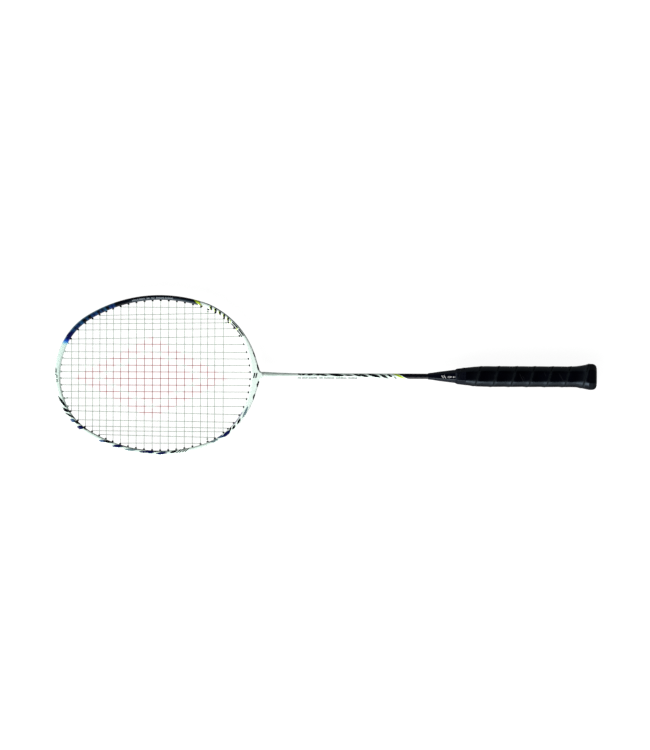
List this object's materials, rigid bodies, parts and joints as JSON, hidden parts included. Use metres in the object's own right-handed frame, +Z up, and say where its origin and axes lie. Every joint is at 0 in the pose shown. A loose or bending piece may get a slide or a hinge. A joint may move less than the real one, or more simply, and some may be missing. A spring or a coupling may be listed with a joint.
{
  "type": "badminton racket",
  "caption": "Strung badminton racket with an oval hollow frame, slim shaft, flared cone and wrapped octagonal handle.",
  "frame": {"origin": "centre of the butt cap's flat end face", "axes": "+X along the shaft towards the head's tip, +Z square to the string bed, +Y to the left when looking along +X with +Z up"},
  "size_m": [0.675, 0.2, 0.03],
  "materials": {
    "frame_paint": "clear-coated paint on carbon laminate, pale mint with navy and black bands",
    "moulded_insert": "as moulded",
    "grommet_nylon": "as moulded",
    "string_nylon": "coated multifilament, with an inked stencil",
    "handle_wood": "bare",
    "cone_gloss": "glossy black",
    "cap_satin": "satin black",
    "staple_steel": "drawn wire",
    "grip_pu": "synthetic leather wrap, overlapped in a spiral",
    "tape_black": "vinyl tape"
  },
  "bodies": {
    "root": {"frame_hoop": "frame_paint", "t_joint_insert": "moulded_insert", "shaft_tube": "frame_paint", "grommets_tip_mains": "grommet_nylon", "grommets_tip_corner_left": "grommet_nylon", "grommets_tip_corner_right": "grommet_nylon", "grommets_cross_left": "grommet_nylon", "grommets_cross_right": "grommet_nylon", "grommets_throat_corner_left": "grommet_nylon", "grommets_throat_corner_right": "grommet_nylon", "grommets_throat_main_left": "grommet_nylon", "grommets_throat_main_right": "grommet_nylon", "grommets_tie_off": "grommet_nylon", "main_string": "string_nylon", "cross_string": "string_nylon", "handle_core": "handle_wood", "grip_cone": "cone_gloss", "butt_cap": "cap_satin", "butt_cap_staples": "staple_steel", "grip_staple": "staple_steel", "grip_wrap": "grip_pu", "finish_tape": "tape_black"}
  },
  "joints": []
}
